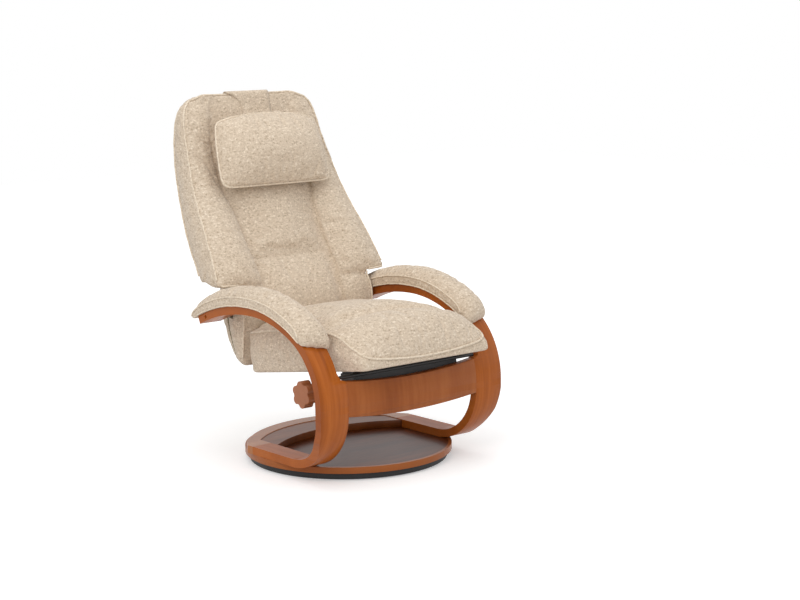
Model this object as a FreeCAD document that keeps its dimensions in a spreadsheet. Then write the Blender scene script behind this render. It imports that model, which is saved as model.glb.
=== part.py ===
import FreeCAD, Part
import math
import os
import Sketcher
from FreeCAD import Placement, Rotation, Vector

doc = FreeCAD.newDocument("SwivelRecliner")

# Driving sizes in millimetres and degrees. The sitter faces -Y, so left is +X.
driving_sizes = {
    "ring_radius": 286.5,
    "ring_width": 44,
    "ring_top": 20.6,
    "foot_clearance": 2,
    "star_arms": 5,
    "star_arm_width": 32,
    "hub_radius": 62,
    "race_radius": 96,
    "plate_half": 98,
    "plate_thickness": 3,
    "pin_radius": 8,
    "running_gap": 0.05,
    "disc_radius": 300,
    "disc_bottom": 21.3,
    "disc_thickness": 18,
    "ply": 23,
    "foot_inner": 232,
    "foot_outer": 298,
    "arm_inner": 256,
    "arm_outer": 328,
    "knee_radius": 170,
    "knee_centre_y": -127,
    "shin_radius": 218,
    "shin_centre_z": 227,
    "shin_angle": 118,
    "wrist_radius": 420,
    "elbow_radius": 625,
    "elbow_angle": 65.6,
    "joint_y": 60,
    "bridge_radius": 349,
    "bridge_centre": -97,
    "well_radius": 344,
    "well_centre": -141,
    "step_radius": 390,
    "step_centre": -280,
    "step_drop": 2,
    "band_top": 294,
    "band_height": 96,
    "band_sag": 14,
    "pad_width": 92,
    "pad_height": 54,
    "pivot_y": 235,
    "pivot_z": 416,
    "pivot_radius": 6,
    "hitch_drop": 130,
    "glide_angle": 9,
    "glide_origin": 274,
    "seat_half": 221,
    "seat_front": -360,
    "seat_rear": 168,
    "seat_height": 122,
    "seat_crown": 26,
    "tray_half": 211,
    "tray_height": 44,
    "tray_wall": 18,
    "rail_centre": 172,
    "rail_width": 8,
    "rail_top": 24,
    "runner_wall": 6,
    "glide_gap": 0.5,
    "knob_y": -107,
    "knob_z": -58,
    "knob_radius": 38,
    "shaft_radius": 5,
    "tube_radius": 8,
    "tube_half": 198,
    "pillow_tilt": 17.2,
    "pillow_y": 350,
    "pillow_z": 864.5,
    "pillow_height": 193,
    "pillow_half": 188,
    "strap_half": 77,
}

sheet = doc.addObject("Spreadsheet::Sheet", "Sizes")
for row, (alias, number) in enumerate(driving_sizes.items(), 1):
    sheet.set(f"A{row}", alias)
    sheet.set(f"B{row}", str(number))
    sheet.setAlias(f"B{row}", alias)
doc.recompute()


class Size:
    """A number together with the sheet formula that gives it."""

    def __init__(self, value, text):
        self.value = float(value)
        self.text = text

    def join(self, other, sign, result):
        return Size(result, f"({self.text} {sign} {wrap(other).text})")

    def __add__(self, other):
        return self.join(other, "+", self.value + wrap(other).value)

    def __sub__(self, other):
        return self.join(other, "-", self.value - wrap(other).value)

    def __mul__(self, other):
        return self.join(other, "*", self.value * wrap(other).value)

    def __truediv__(self, other):
        return self.join(other, "/", self.value / wrap(other).value)

    def __radd__(self, other):
        return wrap(other) + self

    def __rsub__(self, other):
        return wrap(other) - self

    def __rmul__(self, other):
        return wrap(other) * self

    def __neg__(self):
        return Size(-self.value, f"(0 - {self.text})")

    def __float__(self):
        return self.value


def wrap(number):
    return number if isinstance(number, Size) else Size(number, repr(float(number)))


class Sizes:
    """Every cell of the sheet, by its alias."""

    def __init__(self):
        for alias in driving_sizes:
            setattr(self, alias, Size(getattr(sheet, alias), f"Sizes.{alias}"))


size = Sizes()
disc_top = size.disc_bottom + size.disc_thickness
foot_top = disc_top + size.ply


def bind(item, **links):
    """Tie properties of an object to the sheet; double underscores stand for dots."""
    for name, amount in links.items():
        item.setExpression(name.replace("__", "."), wrap(amount).text)
    return item


def place(item, x=0, y=0, z=0):
    return bind(item, Placement__Base__x=x, Placement__Base__y=y, Placement__Base__z=z)


# Basic solids, each given by where it starts and ends.
def box(name, x, y, z):
    item = doc.addObject("Part::Box", name)
    low, high = zip(*[(wrap(a), wrap(b)) for a, b in (x, y, z)])
    bind(item, Length=high[0] - low[0], Width=high[1] - low[1], Height=high[2] - low[2])
    return place(item, *low)


def disc(name, radius, z, x=0, y=0):
    item = doc.addObject("Part::Cylinder", name)
    bind(item, Radius=radius, Height=wrap(z[1]) - z[0])
    return place(item, x, y, z[0])


def rod(name, radius, x, y, z):
    """A round bar along X."""
    item = doc.addObject("Part::Cylinder", name)
    item.Placement = Placement(Vector(), Rotation(Vector(0, 1, 0), 90))
    bind(item, Radius=radius, Height=wrap(x[1]) - x[0])
    return place(item, x[0], y, z)


def hexagon(name, radius, z, x, y):
    """A six-sided nut or bolt head along Z."""
    item = doc.addObject("Part::Prism", name)
    item.Polygon = 6
    bind(item, Circumradius=radius, Height=wrap(z[1]) - z[0])
    return place(item, x, y, z[0])


def fuse(name, *items):
    joined = doc.addObject("Part::MultiFuse", name)
    joined.Shapes = list(items)
    return joined


def cut(name, base, *tools):
    tool = tools[0] if len(tools) == 1 else fuse(name + "_tools", *tools)
    result = doc.addObject("Part::Cut", name)
    result.Base = base
    result.Tool = tool
    return result


def common(name, first, second):
    result = doc.addObject("Part::MultiCommon", name)
    result.Shapes = [first, second]
    return result


def group(name, items):
    bundle = doc.addObject("Part::Compound", name)
    bundle.Links = list(items)
    return bundle


def mirror(name, source):
    twin = doc.addObject("Part::Mirroring", name)
    twin.Source = source
    twin.Normal = Vector(1, 0, 0)
    return twin


# Bodies made from sketches on their own origin planes.
def body(name):
    return doc.addObject("PartDesign::Body", name)


def sketch_on(owner, plane, offset=0):
    drawing = owner.newObject("Sketcher::SketchObject", owner.Name + "_sketch")
    support = next(f for f in owner.Origin.OriginFeatures if f.Role == plane)
    drawing.AttachmentSupport = [(support, "")]
    drawing.MapMode = "FlatFace"
    drawing.setExpression("AttachmentOffset.Base.z", wrap(offset).text)
    return drawing


def fix_point(drawing, index, end, x, y):
    for kind, amount in (("DistanceX", wrap(x)), ("DistanceY", wrap(y))):
        rule = Sketcher.Constraint(kind, -1, 1, index, end, amount.value)
        drawing.setExpression(f"Constraints[{drawing.addConstraint(rule)}]", amount.text)


def draw(drawing, corners):
    """A closed outline of straight edges, each corner tied to the sheet."""
    ends = [Vector(wrap(x).value, wrap(y).value, 0) for x, y in corners]
    for start, end in zip(ends, ends[1:] + ends[:1]):
        drawing.addGeometry(Part.LineSegment(start, end))
    for index, (x, y) in enumerate(corners):
        following = (index + 1) % len(corners)
        drawing.addConstraint(Sketcher.Constraint("Coincident", index, 2, following, 1))
        fix_point(drawing, index, 1, x, y)


def draw_mixed(drawing, edges):
    """A closed outline of lines and arcs that already meet, with their radii tied to the sheet."""
    for index, (curve, radius) in enumerate(edges):
        drawing.addGeometry(curve)
        if radius is not None:
            rule = drawing.addConstraint(Sketcher.Constraint("Radius", index, float(radius)))
            drawing.setExpression(f"Constraints[{rule}]", wrap(radius).text)


def turned(name, corners):
    """A piece turned about Z from an outline of radius and height."""
    owner = body(name)
    drawing = sketch_on(owner, "XZ_Plane")
    draw(drawing, corners)
    spun = owner.newObject("PartDesign::Revolution", name + "_turn")
    spun.Profile = drawing
    spun.ReferenceAxis = (drawing, ["V_Axis"])
    spun.Angle = 360
    return owner


def padded(name, plane, offset, length, edges=None, corners=None):
    """A piece pushed out of a flat outline."""
    owner = body(name)
    drawing = sketch_on(owner, plane, offset)
    if edges:
        draw_mixed(drawing, edges)
    else:
        draw(drawing, corners)
    push = owner.newObject("PartDesign::Pad", name + "_pad")
    push.Profile = drawing
    push.setExpression("Length", wrap(length).text)
    return owner


def made(name, shape):
    item = doc.addObject("Part::Feature", name)
    item.Shape = shape
    return item


def tilted(item):
    """Seat pieces are laid out level, then tip up with the glide."""
    item.Placement = Placement(Vector(), Rotation(Vector(1, 0, 0), -float(size.glide_angle)))
    return place(item, 0, 0, size.glide_origin)


def arc_between(centre, radius, start, end):
    """An arc in sketch coordinates, angles in degrees, drawn the short way."""
    low, high = sorted((math.radians(start), math.radians(end)))
    circle = Part.Circle(Vector(centre[0], centre[1], 0), Vector(0, 0, 1), radius)
    return Part.ArcOfCircle(circle, low, high)


def on_circle(centre, radius, angle):
    turn = math.radians(angle)
    return centre[0] + radius * math.cos(turn), centre[1] + radius * math.sin(turn)


def line(start, end):
    return Part.LineSegment(Vector(*start, 0), Vector(*end, 0))


nodes = {}


def keep(name, item):
    item.Label = name
    nodes[name] = item
    return item


# Floor ring, star and bearing, which stay on the floor.
ring_inner = size.ring_radius - size.ring_width
keep("floor_ring", turned("floor_ring", [
    (ring_inner, size.foot_clearance),
    (size.ring_radius, size.foot_clearance),
    (size.ring_radius, size.ring_top),
    (ring_inner, size.ring_top),
]))

star_low, star_high = 4, 10
hub = disc("hub", size.hub_radius, (star_low, star_high - 1))
arm_blank = box("arm_blank", (0, size.ring_radius), (-size.star_arm_width / 2, size.star_arm_width / 2),
                (star_low, star_high - 1))
arm_reach = disc("arm_reach", ring_inner, (star_low, star_high - 1))
arm_one = common("arm_one", arm_blank, arm_reach)
arms = [arm_one]
for index in range(1, int(size.star_arms.value)):
    copy = doc.addObject("Part::Compound", f"arm_{index}")
    copy.Links = [arm_one]
    copy.Placement = Placement(Vector(), Rotation(Vector(0, 0, 1), 360 * index / size.star_arms.value))
    arms.append(copy)
keep("star_base", fuse("star_base", hub, *arms))

race_low = star_high - 1
keep("bearing_race", turned("bearing_race", [
    (size.pin_radius, race_low),
    (size.race_radius, race_low),
    (size.race_radius, size.disc_bottom - size.plate_thickness - 0.4),
    (size.pin_radius, size.disc_bottom - size.plate_thickness - 0.4),
]))
keep("swivel_pin", disc("swivel_pin", size.pin_radius, (race_low, size.disc_bottom - 0.5)))

glide_circle = size.ring_radius - size.ring_width / 2
glides = [disc("glide_centre", 20, (0, star_low))]
for index in range(int(size.star_arms.value)):
    turn = math.radians(360 * (index + 0.5) / size.star_arms.value)
    x, y = glide_circle * math.cos(turn), glide_circle * math.sin(turn)
    glides.append(box(f"glide_{index}", (x - 11, x + 11), (y - 11, y + 11), (0, size.foot_clearance)))
keep("floor_glides", group("floor_glides", glides))

# Disc and raised horseshoe, which turn with the seat.
plate_layer = (size.disc_bottom - size.plate_thickness, size.disc_bottom)
keep("swivel_plate", cut(
    "swivel_plate",
    box("plate_square", (-size.plate_half, size.plate_half), (-size.plate_half, size.plate_half),
        plate_layer),
    disc("plate_hole", size.pin_radius + size.running_gap, (plate_layer[0] - 1, plate_layer[1] + 1))))
keep("base_disc", disc("base_disc", size.disc_radius, (size.disc_bottom, disc_top)))

layer = (disc_top, foot_top)
bridge_blank = common("bridge_blank", disc("bridge_round", size.bridge_radius, layer, 0, size.bridge_centre),
                      box("bridge_strip", (-size.foot_outer, size.foot_outer), (size.joint_y, 300), layer))
well = common("well", disc("well_round", size.well_radius, layer, 0, size.well_centre),
              box("well_strip", (-size.foot_inner, size.foot_inner), (-200, 300), layer))
keep("rear_bridge", cut("rear_bridge", bridge_blank, well))

step_layer = (disc_top, foot_top - size.step_drop)
step_half = size.foot_inner - 0.2
step_blank = common("step_blank", disc("step_rear", size.well_radius - 0.2, step_layer, 0, size.well_centre),
                    box("step_strip", (-step_half, step_half), (-100, 300), step_layer))
keep("base_step", cut("base_step", step_blank,
                      disc("step_front", size.step_radius, step_layer, 0, size.step_centre)))


# Bent laminated arm and leg: one strip of constant thickness, drawn in side view.
def strip_bends():
    """Centre, outer radius and end angles of each bend, from the foot up to the arm's rear tip."""
    knee = (size.knee_centre_y.value, disc_top.value + size.knee_radius.value)
    face = knee[0] - size.knee_radius.value
    shin = (face + size.shin_radius.value, size.shin_centre_z.value)
    shin_end = on_circle(shin, size.shin_radius.value, size.shin_angle.value)
    wrist = on_circle(shin_end, -size.wrist_radius.value, size.shin_angle.value)
    elbow = (wrist[0], wrist[1] + size.wrist_radius.value - size.elbow_radius.value)
    return [
        (knee, size.knee_radius, 270, 180),
        (shin, size.shin_radius, 180, size.shin_angle.value),
        (wrist, size.wrist_radius, size.shin_angle.value, 90),
        (elbow, size.elbow_radius, 90, size.elbow_angle.value),
    ]


def strip_outline():
    bends = strip_bends()
    ply, foot_end = size.ply.value, size.joint_y.value
    outer, inner = [], []
    for centre, radius, start, end in bends:
        outer.append((arc_between(centre, radius.value, start, end), radius))
        inner.append((arc_between(centre, radius.value - ply, start, end), radius - size.ply))
    first, last = bends[0], bends[-1]
    knee, shin = bends[0][0], bends[1][0]
    outer_foot = on_circle(first[0], first[1].value, 270)
    inner_foot = on_circle(first[0], first[1].value - ply, 270)
    outer_tip = on_circle(last[0], last[1].value, last[3])
    inner_tip = on_circle(last[0], last[1].value - ply, last[3])
    face = knee[0] - first[1].value
    straights = [
        line(outer_foot, (foot_end, outer_foot[1])),
        line((foot_end, outer_foot[1]), (foot_end, inner_foot[1])),
        line((foot_end, inner_foot[1]), inner_foot),
        line((face, knee[1]), (face, shin[1])),
        line((face + ply, knee[1]), (face + ply, shin[1])),
        line(outer_tip, inner_tip),
    ]
    return outer + inner + [(straight, None) for straight in straights]


leg_strip = padded("leg_strip", "YZ_Plane", size.foot_inner, size.arm_outer - size.foot_inner,
                   edges=strip_outline())
shoulder = 24
leg_face = padded("leg_face", "XZ_Plane", -300, 700, corners=[
    (size.foot_inner, disc_top),
    (size.foot_outer, disc_top),
    (size.foot_outer, disc_top + 34),
    (size.arm_outer - 8, disc_top + 96),
    (size.arm_outer, disc_top + 160),
    (size.arm_outer, 480),
    (size.arm_inner, 480),
    (size.arm_inner, size.band_top + shoulder),
    (size.arm_inner - 7, size.band_top + 7),
    (size.foot_inner, size.band_top),
])
leg_blank = common("leg_blank", leg_strip, leg_face)
pin_hole = rod("pin_hole", size.pivot_radius, (size.arm_inner - 2, size.arm_inner + 44),
               size.pivot_y, size.pivot_z)
cap_hole = rod("cap_hole", 5, (size.arm_outer - 12, size.arm_outer + 2), size.pivot_y, size.pivot_z)
left_leg = keep("left_leg", cut("left_leg", leg_blank, pin_hole, cap_hole))
keep("right_leg", mirror("right_leg", left_leg))


# Front crossbar: the same bend as the legs, with a sagging top and bottom edge.
def band_outline():
    half, sag = size.foot_inner.value - 0.1, size.band_sag.value
    top, low = size.band_top.value, (size.band_top - size.band_height).value
    radius = (half * half + sag * sag) / (2 * sag)
    sweep = math.degrees(math.asin(half / radius))
    arcs = [(arc_between((0, height - sag + radius), radius, 270 - sweep, 270 + sweep), None)
            for height in (top, low)]
    return arcs + [(line((side, low), (side, top)), None) for side in (-half, half)]


band_curve = padded("band_curve", "YZ_Plane", -size.foot_inner, size.foot_inner * 2, edges=strip_outline())
band_window = padded("band_window", "XZ_Plane", 200, 120, edges=band_outline())
keep("front_crossbar", common("front_crossbar", band_curve, band_window))


# Soft pieces are lofts through outlines of four lines or shallow arcs.
def soft_ring(corners, bulges, spot):
    """Four corners joined round; each bulge is how far the middle of that edge stands out."""
    edges = []
    for (ax, ay), (bx, by), bulge in zip(corners, corners[1:] + corners[:1], bulges):
        share = bulge / math.hypot(bx - ax, by - ay)
        middle = ((ax + bx) / 2 + (by - ay) * share, (ay + by) / 2 - (bx - ax) * share)
        if bulge:
            edges.append(Part.Arc(spot(ax, ay), spot(*middle), spot(bx, by)).toShape())
        else:
            edges.append(Part.LineSegment(spot(ax, ay), spot(bx, by)).toShape())
    return Part.Wire(edges)


def soft_loft(rings):
    return Part.makeLoft(rings, True, True)


def arm_pad():
    """The pad follows the outside of the arm and thins out at both ends."""
    bends = strip_bends()
    middle = (size.arm_inner.value + size.arm_outer.value) / 2
    # Bend, angle on it, share of the height, share of the width.
    stations = [(3, 62.6, 0.45, 0.86), (3, 63.8, 0.8, 0.96), (3, 67, 0.96, 1), (3, 78, 1, 1),
                (3, 89, 1, 1), (2, 103, 1, 1), (2, 117, 1, 1), (1, 126, 0.96, 1), (1, 133, 0.78, 0.97),
                (1, 136.8, 0.4, 0.86)]
    rings = []
    for index, angle, tall, wide in stations:
        half, top = size.pad_width.value / 2 * wide, size.pad_height.value * tall
        side = top * 0.62
        corners = [(-half, -3), (half, -3), (half, side), (-half, side)]

        def spot(x, rise):
            y, z = on_circle(bends[index][0], bends[index][1].value + rise, angle)
            return Vector(middle + x, y, z)

        rings.append(soft_ring(corners, [0, 0, top - side, 0], spot))
    return soft_loft(rings)


pad_seat = padded("pad_seat", "YZ_Plane", size.arm_inner - 20, size.pad_width + 20, edges=strip_outline())
left_pad = keep("left_arm_pad", cut("left_arm_pad", made("pad_blank", arm_pad()), pad_seat))
keep("right_arm_pad", mirror("right_arm_pad", left_pad))

# Steel channel behind the crossbar, and the glide rails on it.
channel_front, channel_rear = -262, -206
channel_parts = [
    box("channel_flange", (-187, 187), (channel_front, channel_front + 4), (-62, -8)),
    box("channel_shelf", (-187, 187), (channel_front, channel_rear), (-12, -8)),
]
for x in (-187, -62, 58, 183):
    channel_parts.append(box("channel_gusset", (x, x + 4), (channel_front, channel_rear), (-40, -8)))
keep("mount_channel", tilted(fuse("mount_channel", *channel_parts)))

tie_y, tie_z, tie_end = -270, 303.5, size.foot_inner + 9.3
keep("tie_rod", rod("tie_rod", 5, (-tie_end, tie_end), tie_y, tie_z))

rail_low = size.rail_centre - size.rail_width / 2
rail_high = size.rail_centre + size.rail_width / 2
left_rail = keep("left_rail", tilted(fuse(
    "left_rail",
    box("rail_bar", (rail_low, rail_high), (-318, 70), (2, size.rail_top)),
    box("rail_foot", (size.rail_centre - 12, size.rail_centre + 12), (-258, -210), (-8, 2.5)))))
keep("right_rail", mirror("right_rail", left_rail))
keep("channel_bolts", tilted(group("channel_bolts", [
    hexagon("channel_bolt", 7.5, (-8, -3), x, -234) for x in (-120, -30, 30, 120)])))

# Brackets that hang from the rails and hold the tension knobs.
bracket = (rail_high, rail_high + 4)
left_bracket = cut(
    "left_bracket",
    fuse("bracket_blank",
         box("bracket_plate", bracket, (size.knob_y - 16, size.knob_y + 16), (size.knob_z, 7)),
         box("bracket_foot", bracket, (size.knob_y - 12, size.knob_y + 12),
             (size.knob_z - 14, size.knob_z + 1))),
    rod("bracket_bore", size.shaft_radius + size.running_gap, (rail_high - 1, rail_high + 5),
        size.knob_y, size.knob_z))
keep("knob_brackets", tilted(group("knob_brackets", [left_bracket, mirror("right_bracket", left_bracket)])))

# Knobs with six round lobes, drawn as lobes and the hollows between them.
knob_inner, knob_outer, lobe_radius = 226, 256, 13


def knob_outline():
    """Six lobes, each an arc, joined by short straight edges across the hollows."""
    reach = size.knob_radius.value - lobe_radius
    edges, ends = [], []
    for step in range(6):
        middle = 60 * step + 30
        lobe = on_circle((size.knob_y.value, size.knob_z.value), reach, middle)
        edges.append((arc_between(lobe, lobe_radius, middle - 75, middle + 75), None))
        ends.append((on_circle(lobe, lobe_radius, middle - 75), on_circle(lobe, lobe_radius, middle + 75)))
    for (_, leave), (meet, _) in zip(ends, ends[1:] + ends[:1]):
        edges.append((line(leave, meet), None))
    return edges


left_knob = keep("left_knob", tilted(fuse(
    "left_knob",
    padded("knob_grip", "YZ_Plane", knob_inner, knob_outer - knob_inner, edges=knob_outline()),
    rod("knob_neck", 14, (knob_inner - 10, knob_inner), size.knob_y, size.knob_z))))
keep("right_knob", mirror("right_knob", left_knob))
left_shaft = keep("left_knob_shaft", tilted(group("left_knob_shaft", [
    rod("knob_spindle", size.shaft_radius, (rail_high + 0.3, knob_inner - 10), size.knob_y, size.knob_z)])))
keep("right_knob_shaft", mirror("right_knob_shaft", left_shaft))

pivot_reach = size.arm_inner + 44
left_pivot = fuse(
    "left_pivot",
    rod("pivot_pin", size.pivot_radius, (202, pivot_reach), size.pivot_y, size.pivot_z),
    box("pivot_nut", (size.arm_inner - 5, size.arm_inner), (size.pivot_y - 8, size.pivot_y + 8),
        (size.pivot_z - 8, size.pivot_z + 8)))
keep("pivot_bolts", group("pivot_bolts", [left_pivot, mirror("right_pivot", left_pivot)]))


# Seat: cushion with a skirt, and under it a tray that glides on the rails.
def seat_blank():
    half, height, crown = size.seat_half.value, size.seat_height.value, size.seat_crown.value
    front, rear = size.seat_front.value, size.seat_rear.value
    # Distance along the seat, share of the height, share of the crown, inset of the sides.
    stations = [(rear, 0.885, 0.6, 4), (rear - 14, 0.98, 0.8, 0), (60, 1, 1, 0), (-120, 0.975, 1, 0),
                (-215, 0.918, 1, 0), (-272, 0.811, 1, 0), (-322, 0.574, 0.8, 0), (-348, 0.369, 0.5, 1),
                (front, 0.17, 0.2, 4)]
    rings = []
    for along, tall, bulge, inset in stations:
        side, reach = height * tall, half - inset
        corners = [(-reach, 0), (reach, 0), (reach, side), (-reach, side)]
        rings.append(soft_ring(corners, [0, 0, crown * bulge, 0], lambda x, up: Vector(x, along, up)))
    return soft_loft(rings)


tray = ((-size.tray_half, size.tray_half), (size.seat_front + 23, size.seat_rear - 19), (0, size.tray_height))
tray_front, tray_rear = tray[1]
room = (-size.tray_half - 0.5, size.tray_half + 0.5)
hook = (128, 134)
hook_slots = [box("hook_slot", x, (tray_rear - 1, size.seat_rear + 2), (21.5, 42.5))
              for x in ((hook[0] - 0.5, hook[1] + 0.5), (-hook[1] - 0.5, -hook[0] + 0.5))]
keep("seat_cushion", tilted(cut(
    "seat_cushion", made("seat_blank", seat_blank()),
    box("tray_room", room, (tray_front - 0.5, tray_rear + 0.5), (-5, size.tray_height + 2.2)), *hook_slots)))

inside_x = (size.tray_wall - size.tray_half, size.tray_half - size.tray_wall)
inside_y = (tray_front + size.tray_wall, tray_rear - size.tray_wall)
runner_top = size.rail_top + size.glide_gap + size.runner_wall
keep("seat_tray", tilted(fuse(
    "seat_tray",
    cut("tray_rim", box("tray_block", *tray),
        box("tray_inside", inside_x, inside_y, (-1, size.tray_height + 1))),
    box("front_batten", inside_x, (-232, -192), (runner_top, size.tray_height)),
    box("rear_batten", inside_x, (22, 62), (runner_top, size.tray_height)))))
keep("seat_webbing", tilted(group("seat_webbing", [
    box("webbing", (x - 26, x + 26), (tray_front + 2, tray_rear - 2),
        (size.tray_height, size.tray_height + 2))
    for x in (-150, -75, 0, 75, 150)])))

runner_low = size.rail_centre - size.rail_width / 2 - size.glide_gap
runner_high = size.rail_centre + size.rail_width / 2 + size.glide_gap
left_runner = keep("left_runner", tilted(cut(
    "left_runner",
    box("runner_block", (runner_low - size.runner_wall, runner_high + size.runner_wall), (-240, 62),
        (8, runner_top)),
    box("runner_slot", (runner_low, runner_high), (-241, 63), (7, size.rail_top + size.glide_gap)))))
keep("right_runner", mirror("right_runner", left_runner))

# Hooks at the rear of the tray take hold of the lower tube of the back.
lower_y, lower_z = size.pivot_y, size.pivot_z - size.hitch_drop
tilt = math.radians(size.glide_angle.value)
hook_y = lower_y.value * math.cos(tilt) - (lower_z - size.glide_origin).value * math.sin(tilt)
hook_z = lower_y.value * math.sin(tilt) + (lower_z - size.glide_origin).value * math.cos(tilt)
slot_radius = size.tube_radius + 2.5
left_hook = cut("left_hook",
                fuse("hook_blank", box("hook_arm", hook, (tray_rear, hook_y), (22, 42)),
                     box("hook_eye", hook, (hook_y - 16, hook_y + 16), (hook_z - 16, hook_z + 16))),
                rod("hook_hole", slot_radius, (hook[0] - 1, hook[1] + 1), hook_y, hook_z))
keep("seat_hooks", tilted(group("seat_hooks", [left_hook, mirror("right_hook", left_hook)])))

# Height, front corner half-width and depth, front middle, rear corner half-width and depth, rear middle.
upper_back = [
    (505, 306, 200, 226, 288, 318, 336),
    (617, 291, 268, 296, 276, 397, 416),
    (774, 269, 374, 388, 256, 475, 494),
    (902, 252, 430, 430, 240, 508, 527),
    (965, 244, 451, 450, 233, 504, 524),
    (1010, 220, 464, 463, 212, 479, 496),
    (1034, 150, 470, 470, 146, 478, 482),
]
lower_back = [
    (262, 214, 199, 197, 206, 226, 240),
    (284, 230, 196, 195, 221, 247, 261),
    (340, 232, 188, 193, 223, 279, 295),
    (430, 232, 174, 186, 222, 316, 332),
    (505, 230, 214, 229, 220, 321, 333),
]


def back_loft(stations):
    rings = []
    for height, front_x, front_y, front_mid, rear_x, rear_y, rear_mid in stations:
        corners = [(-front_x, front_y), (front_x, front_y), (rear_x, rear_y), (-rear_x, rear_y)]
        bulges = [front_y - front_mid, 0, rear_mid - rear_y, 0]
        rings.append(soft_ring(corners, bulges, lambda x, y: Vector(x, y, height)))
    return soft_loft(rings)


# The line that the frame tube follows parts the cushion from the rear cover.
frame_line = [(lower_y.value, lower_z.value), (262, 416), (300, 505), (412, 712), (474, 962)]
tube_side = size.tube_half.value


def frame_tube():
    """A round tube up one side, across the top and down the other, with a cross tube at the bottom."""
    up = [Vector(tube_side, y, z) for y, z in frame_line]
    down = [Vector(-point.x, point.y, point.z) for point in reversed(up)]
    radius = size.tube_radius.value
    ring = Part.Wire(Part.makeCircle(radius, up[0], up[1] - up[0]))
    tube = Part.makePolygon(up + down).makePipeShell([ring], True, False, 1)
    cross = Part.makeCylinder(radius, 2 * tube_side + radius, up[0], Vector(-1, 0, 0))
    return tube.fuse(cross)


def offset_line(points, gap):
    """The same line moved sideways by the gap."""
    moved = []
    for index, (y, z) in enumerate(points):
        before = points[max(index - 1, 0)]
        after = points[min(index + 1, len(points) - 1)]
        run = math.hypot(after[0] - before[0], after[1] - before[1])
        moved.append((y + gap * (after[1] - before[1]) / run, z - gap * (after[0] - before[0]) / run))
    return moved


keep("back_frame", made("back_frame", frame_tube()))
plate_inner = size.tube_half + size.tube_radius
plate_span = (size.pivot_y - 13, size.pivot_y + 37)
left_plate = cut("left_plate",
                 box("plate_blank", (plate_inner, plate_inner + 6), plate_span,
                     (size.pivot_z - 16, size.pivot_z + 16)),
                 rod("plate_bore", size.pivot_radius + size.running_gap, (plate_inner - 1, plate_inner + 7),
                     size.pivot_y, size.pivot_z))
keep("pivot_plates", group("pivot_plates", [left_plate, mirror("right_plate", left_plate)]))

back_blank = made("back_blank", back_loft(upper_back).fuse(back_loft(lower_back)))
divider_edge = [(frame_line[0][0], 240)] + frame_line + [(476, 1050)]
rear_half = padded("rear_half", "YZ_Plane", -330, 660, corners=divider_edge + [(640, 1050), (640, 240)])
groove = size.tube_radius.value + 0.5
groove_outline = offset_line(frame_line, groove) + offset_line(frame_line, -groove)[::-1]
side_groove = padded("side_groove", "YZ_Plane", size.tube_half - groove, 2 * groove, corners=groove_outline)
top_y, top_z = frame_line[-1]
cross_room = [
    box("top_groove", (-tube_side - groove, tube_side + groove), (top_y - groove, top_y + groove),
        (top_z - groove, top_z + groove)),
    box("low_groove", (-tube_side - groove, tube_side + groove), (lower_y - groove, lower_y + groove),
        (lower_z - groove, lower_z + groove)),
]
pin_room = box("pin_room", (plate_inner - 8, 240), (size.pivot_y - 14, size.pivot_y + 14),
               (size.pivot_z - 14, size.pivot_z + 14))
plate_room = box("plate_room", (plate_inner - 0.5, plate_inner + 6.5),
                 (plate_span[0] - 0.5, plate_span[1] + 0.5), (size.pivot_z - 16.5, size.pivot_z + 16.5))
hook_room = box("hook_room", (120, 142), (170, 275), (240, 324))
side_room = [pin_room, plate_room, hook_room]
side_room += [mirror("other_room", room) for room in side_room]
hollows = fuse("hollows", side_groove, mirror("other_groove", side_groove), *cross_room, *side_room)
keep("back_cushion", cut("back_cushion", cut("front_foam", back_blank, rear_half), hollows))
keep("back_cover", cut("back_cover", common("rear_shell", back_blank, rear_half), hollows))


# Headrest pillow on a weighted strap over the top of the back. It is what three outlines have in common.
def bow(start, end, bulge):
    """A shallow arc whose middle stands out by the bulge, to the right of the way from start to end."""
    share = bulge / math.hypot(end[0] - start[0], end[1] - start[1])
    middle = ((start[0] + end[0]) / 2 + (end[1] - start[1]) * share,
              (start[1] + end[1]) / 2 - (end[0] - start[0]) * share)
    return Part.Arc(Vector(*start, 0), Vector(*middle, 0), Vector(*end, 0))


def bowed(name, plane, reach, corners, bulges):
    """A bowed four-sided outline, pushed out to both sides of its plane."""
    edges = [(bow(start, end, bulge) if bulge else line(start, end), None)
             for start, end, bulge in zip(corners, corners[1:] + corners[:1], bulges)]
    return padded(name, plane, -reach, reach * 2, edges=edges)


pillow_wide, pillow_tall = size.pillow_half.value, size.pillow_height.value / 2
side_view = [(-10, -pillow_tall), (9, -pillow_tall), (9, pillow_tall), (-10, pillow_tall)]
top_view = [(-pillow_wide - 8, -14), (pillow_wide + 8, -14), (pillow_wide + 8, 14), (-pillow_wide - 8, 14)]
front_view = [(-pillow_wide - 4, -pillow_tall), (pillow_wide + 4, -pillow_tall),
              (pillow_wide - 16, pillow_tall), (16 - pillow_wide, pillow_tall)]
pillow_side = bowed("pillow_side", "YZ_Plane", pillow_wide + 20, side_view, [0, 44, 0, 37])
pillow_top = bowed("pillow_top", "XY_Plane", pillow_tall + 10, top_view, [34, 0, 40, 0])
pillow_front = bowed("pillow_front", "XZ_Plane", 80, front_view, [6, 8, 3, 8])
pillow = common("headrest_pillow", common("pillow_sides", pillow_side, pillow_top), pillow_front)
pillow.Placement = Placement(Vector(), Rotation(Vector(1, 0, 0), -size.pillow_tilt.value))
keep("headrest_pillow", place(pillow, 0, size.pillow_y, size.pillow_z))

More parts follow.
